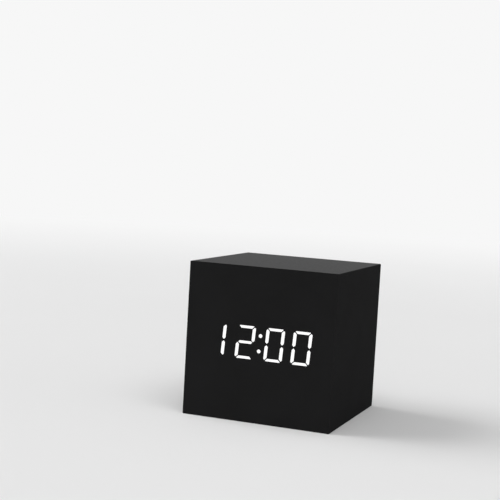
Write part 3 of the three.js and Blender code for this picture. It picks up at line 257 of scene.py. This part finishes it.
# The side of each cell's plus end: minus is low x
PLUS_SIDES = {1: -1, 2: 1, 3: -1}

# The floor fades into the background between these distances from the clock
FLOOR_FADE_START = 0.25
FLOOR_FADE_END = 1.3
BACKGROUND_SHADE = 0.93


def black_film(name, bare_box=None):
    """Matt black film, smoother on top, over fibreboard that is bare inside a box."""
    film = Finish(name)
    color = film.between_colors(
        film.noise(scale=60, detail=4),
        low=(0.0142, 0.0142, 0.0144), high=(0.0160, 0.0160, 0.0165),
    )
    if bare_box:
        flecks = film.between_colors(
            film.noise(scale=1600, detail=5),
            low=(0.30, 0.19, 0.10), high=(0.42, 0.28, 0.155),
        )
        color = film.mix(film.within(*bare_box), color, flecks)
    film.set("Base Color", color)
    upward = film.axis(film.add("ShaderNodeTexCoord").outputs["Normal"], "Z")
    grain = film.between(film.noise(scale=900, detail=3), low=0.46, high=0.52)
    rougher = film.rescale(upward, 0, 1, UPRIGHT_ROUGHER, LEVEL_ROUGHER)
    film.set("Roughness", film.combine("ADD", grain, rougher))
    film.set("Specular IOR Level", 0.025)
    film.bump(film.noise(scale=5200, detail=2), strength=0.15, depth=0.02 * MM)
    return film.material


def moulded_plastic(name, dark, light, roughness, grain_scale=2600, strength=0.35):
    """Moulded plastic with a spark-eroded texture, as a back cover has."""
    plastic = Finish(name)
    clouds = plastic.noise(scale=150, detail=4)
    plastic.set("Base Color", plastic.between_colors(clouds, dark, light))
    plastic.set("Roughness", plastic.between(
        plastic.noise(scale=1200, detail=3),
        low=roughness - PLASTIC_SMOOTHER, high=roughness + PLASTIC_ROUGHER,
    ))
    plastic.set("Specular IOR Level", 0.4)
    plastic.bump(plastic.noise(grain_scale, detail=2), strength, depth=0.05 * MM)
    return plastic.material


def lit_lens():
    """Milky plastic whose tips glow white where they stand in the front sheet."""
    lens = Finish("lit_lens")
    clouds = lens.noise(scale=700, detail=2)
    lens.set("Base Color", lens.between_colors(clouds, low=shade(0.50), high=shade(0.58)))
    lens.set("Roughness", lens.between(lens.noise(scale=1500, detail=2), low=0.3, high=0.4))
    lens.bump(lens.noise(scale=3000, detail=2), strength=0.1, depth=0.02 * MM)
    depth = lens.axis(lens.coordinates(), "Y")
    glow = lens.rescale(depth, TIP_Y + GLOW_END, TIP_Y + GLOW_FULL, high=GLOW_STRENGTH)
    lens.set("Emission Color", (*shade(1), 1))
    lens.set("Emission Strength", glow)
    return lens.material


def metal(name, color, roughness, stretch):
    """Plated metal with fine drawn lines along one direction."""
    plating = Finish(name)
    lines = plating.noise(scale=1800, detail=3, stretch=stretch)
    darkest = [part * METAL_DARKEST for part in color]
    plating.set("Base Color", plating.between_colors(lines, low=darkest, high=color))
    plating.set("Roughness", plating.between(
        lines, low=roughness - METAL_SMOOTHER, high=roughness + METAL_ROUGHER,
    ))
    plating.set("Metallic", 1)
    plating.bump(lines, strength=0.12, depth=0.01 * MM)
    return plating.material


def raw_wood():
    """Softwood with rings drawn out along its length."""
    wood = Finish("raw_wood")
    rings = wood.noise(scale=420, detail=4, stretch=(1, 0.08, 1))
    wood.set("Base Color", wood.between_colors(
        rings, low=(0.27, 0.15, 0.065), high=(0.50, 0.33, 0.17),
    ))
    wood.set("Roughness", wood.between(rings, low=0.65, high=0.8))
    wood.bump(rings, strength=0.4, depth=0.1 * MM)
    return wood.material


def circuit_board():
    """Green solder mask over faint tracks."""
    board = Finish("circuit_board")
    tracks = board.add("ShaderNodeTexBrick")
    board.feed(tracks.inputs["Scale"], 260)
    board.feed(tracks.inputs["Color1"], (0.010, 0.105, 0.040, 1))
    board.feed(tracks.inputs["Color2"], (0.014, 0.135, 0.052, 1))
    board.feed(tracks.inputs["Mortar"], (0.006, 0.070, 0.027, 1))
    board.feed(tracks.inputs["Vector"], board.coordinates())
    board.set("Base Color", tracks.outputs["Color"])
    board.set("Roughness", board.between(board.noise(scale=900, detail=2), low=0.28, high=0.4))
    board.bump(tracks.outputs["Fac"], strength=0.3, depth=0.03 * MM)
    return board.material


def cell_sleeve(name, plus_side):
    """A battery's printed sleeve: a dark body and a copper band round the plus end."""
    sleeve = Finish(name)
    along = sleeve.axis(sleeve.coordinates(), "X")
    start, end = BAND_START - BAND_BLUR, BAND_START + BAND_BLUR
    band = sleeve.rescale(along, plus_side * start, plus_side * end)
    clouds = sleeve.noise(scale=90, detail=2)
    dark = sleeve.between_colors(clouds, low=(0.011, 0.012, 0.015), high=(0.014, 0.015, 0.019))
    copper = sleeve.between_colors(clouds, low=(0.60, 0.29, 0.12), high=(0.64, 0.32, 0.14))
    sleeve.set("Base Color", sleeve.mix(band, dark, copper))
    sleeve.set("Metallic", sleeve.combine("MULTIPLY", band, COPPER_METALLIC))
    sleeve.set("Roughness", sleeve.between(sleeve.noise(scale=300, detail=2), low=0.26, high=0.32))
    return sleeve.material


def floor_paint():
    """Pale matt paint that fades into the background far from the clock."""
    paint = Finish("floor_paint")
    clouds = paint.noise(scale=3, detail=2)
    paint.set("Base Color", paint.between_colors(clouds, low=shade(0.81), high=shade(0.83)))
    paint.set("Roughness", 0.9)
    paint.set("Specular IOR Level", 0.1)
    distance = paint.combine_vectors("LENGTH", paint.coordinates(), result="Value")
    fade = paint.rescale(distance, FLOOR_FADE_START, FLOOR_FADE_END, curve="SMOOTHSTEP")
    glow = paint.add("ShaderNodeEmission")
    paint.feed(glow.inputs["Color"], (*shade(BACKGROUND_SHADE), 1))
    shown = paint.combine("MULTIPLY", fade, paint.shown_rays())
    faded = paint.mix_shaders(shown, paint.surface.outputs["BSDF"], glow.outputs["Emission"])
    paint.feed(paint.tree.nodes["Material Output"].inputs["Surface"], faded)
    return paint.material


FILM = black_film("black_film")
WRAPPED_BOARD = black_film("wrapped_board", BARE_BOX)
COVER_PLASTIC = moulded_plastic("cover_plastic", shade(0.0105), shade(0.0135), roughness=0.55)
DOOR_PLASTIC = moulded_plastic("door_plastic", shade(0.0110), shade(0.0145), roughness=0.52)
PART_PLASTIC = moulded_plastic("part_plastic", shade(0.0100), shade(0.0140), roughness=0.5)
GREY_PLASTIC = moulded_plastic("grey_plastic", shade(0.30), shade(0.36), roughness=0.45)
BUTTON_PLASTIC = moulded_plastic(
    "button_plastic", shade(0.0130), shade(0.0165), roughness=0.42, grain_scale=3600, strength=0.12,
)
MARK_PAINT = moulded_plastic(
    "mark_paint", shade(0.42), shade(0.50), roughness=0.6, grain_scale=4000, strength=0.1,
)
RED_PLASTIC = moulded_plastic(
    "red_insulation", (0.40, 0.016, 0.014), (0.50, 0.024, 0.020),
    roughness=0.35, grain_scale=900, strength=0.1,
)
BLACK_PLASTIC = moulded_plastic(
    "black_insulation", shade(0.010), shade(0.014), roughness=0.35, grain_scale=900, strength=0.1,
)
LENS = lit_lens()
NICKEL = metal("nickel", (0.66, 0.65, 0.63), roughness=0.30, stretch=(1, 1, 0.1))
SPRING_STEEL = metal("spring_steel", (0.60, 0.60, 0.61), roughness=0.28, stretch=(0.3, 1, 1))
WOOD = raw_wood()
BOARD = circuit_board()

# The finish of each node whose name starts with a key; what no key starts is nickel
FINISHES = {
    "front_veneer": FILM,
    "wood_case": WRAPPED_BOARD,
    "screw_block": WOOD,
    "digit_lens": LENS,
    "colon_lens": LENS,
    "display_housing": PART_PLASTIC,
    "driver_chip": PART_PLASTIC,
    "coin_cell_holder": PART_PLASTIC,
    "usb_tongue": PART_PLASTIC,
    "buzzer": PART_PLASTIC,
    "capacitor": PART_PLASTIC,
    "rear_cover": COVER_PLASTIC,
    "battery_door": DOOR_PLASTIC,
    "display_connector": GREY_PLASTIC,
    "control_connector": GREY_PLASTIC,
    "ribbon_cable": GREY_PLASTIC,
    "display_board": BOARD,
    "control_board": BOARD,
    "contact_spring": SPRING_STEEL,
    "red_lead": RED_PLASTIC,
    "black_lead": BLACK_PLASTIC,
}
for kind in BUTTON_KINDS:
    FINISHES[f"{kind}_switch"] = PART_PLASTIC
    FINISHES[f"{kind}_button"] = BUTTON_PLASTIC
    FINISHES[f"{kind}_plunger"] = GREY_PLASTIC
for index, plus_side in PLUS_SIDES.items():
    FINISHES[f"aaa_cell_{index}"] = cell_sleeve(f"sleeve_{index}", plus_side)


def finish_for(name):
    """The finish whose key is the longest that starts the name, and nickel where none does."""
    keys = [key for key in FINISHES if name.startswith(key)]
    return FINISHES[max(keys, key=len)] if keys else NICKEL


for name, node in NODES.items():
    node.data.materials.clear()
    node.data.materials.append(finish_for(name))


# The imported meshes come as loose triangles: welded, they can be softened and shaded as one surface

WELD_DISTANCE = 0.0005 * MM

for node in NODES.values():
    weld = node.modifiers.new("weld", "WELD")
    weld.merge_threshold = WELD_DISTANCE


# Softened edges on the moulded pieces that are handled

SOFT_EDGE = 0.12 * MM
SOFT_SEGMENTS = 2
DOOR_EDGE_LIMIT = 30
BUTTON_EDGE_LIMIT = 25


def soften(name, limit):
    """Rounds a node's edges where its faces meet at more than a limit in degrees."""
    bevel = NODES[name].modifiers.new("soft_edges", "BEVEL")
    bevel.width = SOFT_EDGE
    bevel.segments = SOFT_SEGMENTS
    bevel.limit_method = "ANGLE"
    bevel.angle_limit = math.radians(limit)


soften("battery_door", DOOR_EDGE_LIMIT)
for kind in BUTTON_KINDS:
    soften(f"{kind}_button", BUTTON_EDGE_LIMIT)


# Round surfaces shaded smooth, while edges where faces meet at more than a limit stay crisp

ROUND_LIMIT = 40
WIRE_LIMIT = 75


def shading_nodes(name, limit):
    group = bpy.data.node_groups.new(name, "GeometryNodeTree")
    for way in ("INPUT", "OUTPUT"):
        group.interface.new_socket("Geometry", in_out=way, socket_type="NodeSocketGeometry")
    nodes = Nodes(group)
    bare = nodes.add("GeometryNodeRemoveAttribute")
    nodes.feed(bare.inputs["Name"], "custom_normal")
    nodes.feed(bare.inputs["Geometry"], nodes.add("NodeGroupInput").outputs["Geometry"])
    angle = nodes.add("GeometryNodeInputMeshEdgeAngle")
    crisp = nodes.add("FunctionNodeCompare", operation="GREATER_THAN")
    nodes.feed(crisp.inputs["A"], angle.outputs["Unsigned Angle"])
    nodes.feed(crisp.inputs["B"], math.radians(limit))
    shape = bare.outputs["Geometry"]
    for domain, smooth in (("FACE", True), ("EDGE", True), ("EDGE", False)):
        step = nodes.add("GeometryNodeSetShadeSmooth", domain=domain)
        nodes.feed(step.inputs["Shade Smooth"], smooth)
        nodes.feed(step.inputs["Geometry"], shape)
        if not smooth:
            nodes.feed(step.inputs["Selection"], crisp.outputs["Result"])
        shape = step.outputs["Geometry"]
    nodes.feed(nodes.add("NodeGroupOutput").inputs["Geometry"], shape)
    return group


ROUND_SHADING = shading_nodes("round_shading", ROUND_LIMIT)
WIRE_SHADING = shading_nodes("wire_shading", WIRE_LIMIT)

for name, node in NODES.items():
    wire = name.startswith("contact_spring") or name.endswith("_lead")
    shading = node.modifiers.new("shading", "NODES")
    shading.node_group = WIRE_SHADING if wire else ROUND_SHADING
    weighted = node.modifiers.new("weighted_normals", "WEIGHTED_NORMAL")
    weighted.keep_sharp = True


# Marks on the back: printed signs over the buttons, and the cells' places moulded inside the door

MARK_ROOT = 0.01 * MM
PRINT_HEIGHT = 0.03 * MM
PRINT_HALF_WIDTH = 0.8 * MM
PRINT_HALF_HEIGHT = 0.56 * MM
PRINT_GAP = 0.9 * MM
DOT_STEPS = 24
RELIEF_HEIGHT = 0.15 * MM
RELIEF_LINE = 0.45 * MM
SIGN_REACH = 1.6 * MM
BRACKET_END = 8.5 * MM
CELL_DRAWN_SHARE = 0.8


def flat_marks(name, outlines, face_y, height, material, body):
    """Thin shapes, outlined in x and z, that stand up from a face by a height along y."""
    mesh = bmesh.new()
    root_y = face_y - math.copysign(MARK_ROOT, height)
    for points in outlines:
        mesh.faces.new([mesh.verts.new((x, root_y, z)) for x, z in points])
    raised = bmesh.ops.extrude_face_region(mesh, geom=list(mesh.faces))
    moved = [item for item in raised["geom"] if isinstance(item, bmesh.types.BMVert)]
    bmesh.ops.translate(mesh, verts=moved, vec=(0, face_y + height - root_y, 0))
    bmesh.ops.recalc_face_normals(mesh, faces=mesh.faces)
    data = bpy.data.meshes.new(name)
    mesh.to_mesh(data)
    mesh.free()
    data.materials.append(material)
    piece = bpy.data.objects.new(name, data)
    bpy.context.scene.collection.objects.link(piece)
    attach(piece, body)


def button_marks():
    """A triangle down, a dot and a triangle up, each printed over its button."""
    cover_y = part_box("rear_cover")[1][1]
    wide, tall = PRINT_HALF_WIDTH, PRINT_HALF_HEIGHT
    turns = [2 * math.pi * step / DOT_STEPS for step in range(DOT_STEPS)]
    signs = {
        "down": [(-wide, tall), (wide, tall), (0, -tall)],
        "set": [(tall * math.cos(turn), tall * math.sin(turn)) for turn in turns],
        "up": [(-wide, -tall), (wide, -tall), (0, tall)],
    }
    for kind, sign in signs.items():
        low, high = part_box(f"{kind}_button")
        x = (low[0] + high[0]) / 2
        z = high[2] + PRINT_GAP
        points = [(x + along, z + up) for along, up in sign]
        flat_marks(f"{kind}_mark", [points], cover_y, PRINT_HEIGHT, MARK_PAINT,
                   "clock")


def cell_outline(plus_side, middle, reach_x, reach_z):
    """A bracket round each end of a cell, clear of the latch's slits, and a nib at its plus."""
    line = RELIEF_LINE
    near_x, near_z = reach_x - line, reach_z - line
    tip_x, tip_z = reach_x + 2 * line, 2 * line
    lower = [(BRACKET_END, -near_z), (BRACKET_END, -reach_z), (reach_x, -reach_z)]
    nib = [(reach_x, -tip_z), (tip_x, -tip_z), (tip_x, tip_z), (reach_x, tip_z)]
    upper = [(reach_x, reach_z), (BRACKET_END, reach_z), (BRACKET_END, near_z)]
    inside = [(near_x, near_z), (near_x, -near_z)]
    return [
        [(x * plus_side, middle + z) for x, z in lower + nib + upper + inside],
        [(-x * plus_side, middle + z) for x, z in lower + upper + inside],
    ]


def cell_signs(plus_side, middle, sign_x):
    """A plus sign at the cell's plus end and a minus sign at the other."""
    half, reach = RELIEF_LINE / 2, SIGN_REACH
    minus = [(-reach, -half), (reach, -half), (reach, half), (-reach, half)]
    plus = [
        (-reach, -half), (-half, -half), (-half, -reach), (half, -reach),
        (half, -half), (reach, -half), (reach, half), (half, half),
        (half, reach), (-half, reach), (-half, half), (-reach, half),
    ]
    place = plus_side * sign_x
    return [
        [(x + place, middle + z) for x, z in plus],
        [(x - place, middle + z) for x, z in minus],
    ]


def cell_drawings():
    """Each cell's outline with its plus and minus signs, inside the door."""
    inner_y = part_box("battery_door")[0][1]
    for index, plus_side in PLUS_SIDES.items():
        low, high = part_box(f"aaa_cell_{index}")
        middle = (low[2] + high[2]) / 2
        reach_x = (high[0] - low[0]) / 2 * CELL_DRAWN_SHARE
        reach_z = (high[2] - low[2]) / 2 * CELL_DRAWN_SHARE
        outlines = cell_outline(plus_side, middle, reach_x, reach_z)
        outlines += cell_signs(plus_side, middle, reach_x - 2 * SIGN_REACH)
        flat_marks(f"cell_drawing_{index}", outlines, inner_y, -RELIEF_HEIGHT, DOOR_PLASTIC,
                   "battery_door")


button_marks()
cell_drawings()


# Floor, light and background

FLOOR_RADIUS = 6
FLOOR_SIDES = 96

# Lamps: the heading they shine along in x and y, and their elevation and size in degrees
LAMPS = {
    "key": {"heading": (0.993, 0.122), "elevation": 38, "size": 42, "strength": 1.6},
    "fill": {"heading": (-0.45, 0.55), "elevation": 65, "size": 50, "strength": 1.01},
}

# The room's light: most towards its bright side, and least from this cosine off that side on
ROOM_BRIGHT_SIDE = (-0.25, -0.6, 0.76)
ROOM_DIM_COSINE = -0.5
ROOM_LEAST = 0.16
ROOM_MOST = 0.45


def add_floor():
    mesh = bmesh.new()
    bmesh.ops.create_circle(mesh, cap_ends=True, segments=FLOOR_SIDES, radius=FLOOR_RADIUS)
    data = bpy.data.meshes.new("floor")
    mesh.to_mesh(data)
    mesh.free()
    data.materials.append(floor_paint())
    floor = bpy.data.objects.new("floor", data)
    bpy.context.scene.collection.objects.link(floor)


def add_sun(name, heading, elevation, size, strength):
    """A distant lamp, which shines along a heading and comes down from an elevation."""
    data = bpy.data.lights.new(name, "SUN")
    data.energy = strength
    data.angle = math.radians(size)
    lamp = bpy.data.objects.new(name, data)
    rise = math.radians(elevation)
    level = Vector((*heading, 0)).normalized() * math.cos(rise)
    direction = level - Vector((0, 0, math.sin(rise)))
    lamp.rotation_euler = direction.to_track_quat("-Z", "Y").to_euler()
    bpy.context.scene.collection.objects.link(lamp)


def add_world():
    """A soft room, brightest above and before the clock, and an even pale background."""
    world = bpy.data.worlds.new("studio")
    bpy.context.scene.world = world
    world.use_nodes = True
    nodes = Nodes(world.node_tree)
    direction = nodes.add("ShaderNodeTexCoord").outputs["Generated"]
    towards = nodes.combine_vectors("DOT_PRODUCT", direction, ROOM_BRIGHT_SIDE, result="Value")
    level = nodes.rescale(towards, ROOM_DIM_COSINE, 1, ROOM_LEAST, ROOM_MOST)
    room = world.node_tree.nodes["Background"]
    nodes.feed(room.inputs["Color"], (*shade(1), 1))
    nodes.feed(room.inputs["Strength"], level)
    shown = nodes.add("ShaderNodeBackground")
    nodes.feed(shown.inputs["Color"], (*shade(BACKGROUND_SHADE), 1))
    backdrop = nodes.mix_shaders(
        nodes.shown_rays(), room.outputs["Background"], shown.outputs["Background"],
    )
    nodes.feed(world.node_tree.nodes["World Output"].inputs["Surface"], backdrop)


add_floor()
add_world()
for name, lamp in LAMPS.items():
    add_sun(name, **lamp)

bpy.context.scene.view_settings.view_transform = "Standard"
